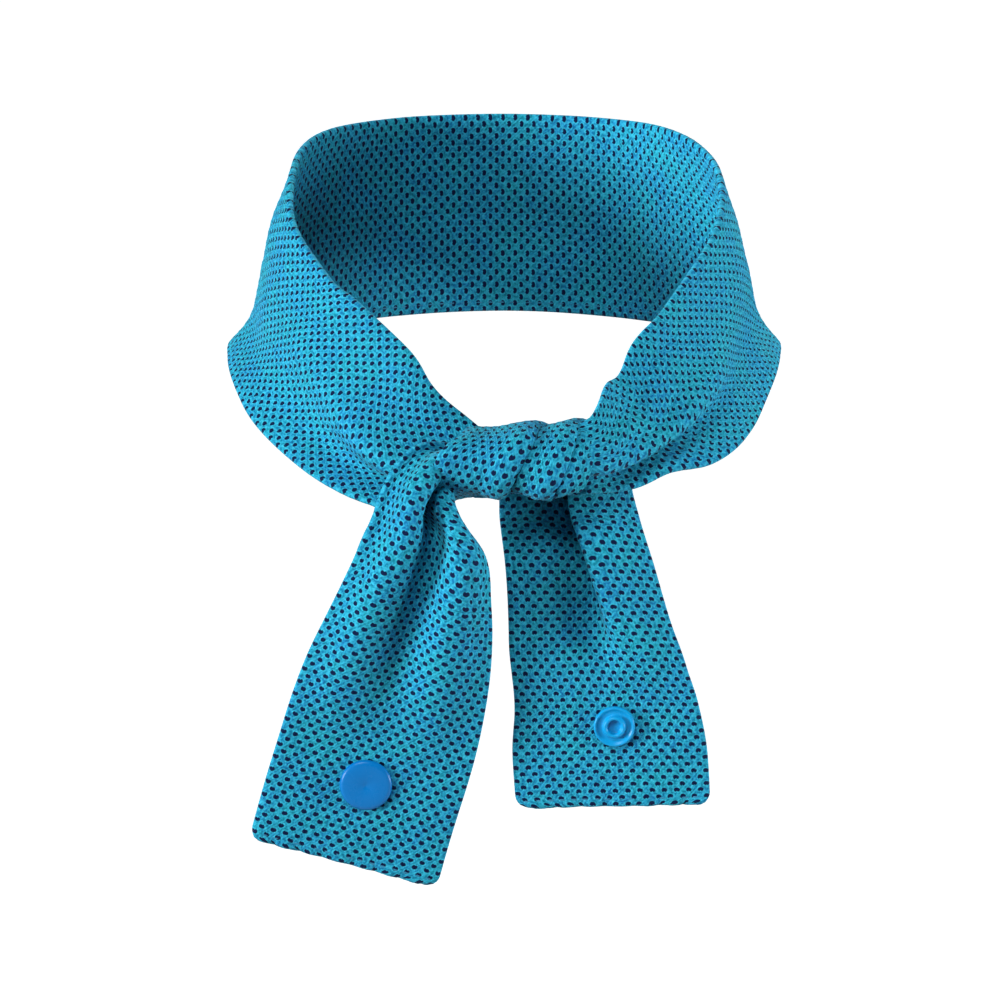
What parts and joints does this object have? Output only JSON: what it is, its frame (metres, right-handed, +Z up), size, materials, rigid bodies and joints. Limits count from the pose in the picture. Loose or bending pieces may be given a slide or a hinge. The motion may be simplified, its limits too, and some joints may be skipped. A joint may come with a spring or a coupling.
{
  "type": "cooling neck wrap",
  "caption": "Flat strip of eyelet mesh cloth tied in front with an overhand knot; plastic snap halves on its hanging tabs.",
  "frame": {"origin": "centre of the neck opening, halfway up the band behind the neck", "axes": "+Z up along the neck, +X to the right seen from the front, +Y to the back; the knot is in front"},
  "size_m": [0.1543, 0.1598, 0.187],
  "materials": {
    "mesh_cloth": "two-layer eyelet mesh knit, matte with a soft sheen",
    "snap_plastic": "moulded acetal resin, glossy"
  },
  "bodies": {
    "root": {"neck_band": "mesh_cloth", "tab_left": "mesh_cloth", "tab_right": "mesh_cloth", "snap_cap_front": "snap_plastic", "snap_stud": "snap_plastic", "snap_socket": "snap_plastic", "snap_cap_back": "snap_plastic"}
  },
  "joints": []
}
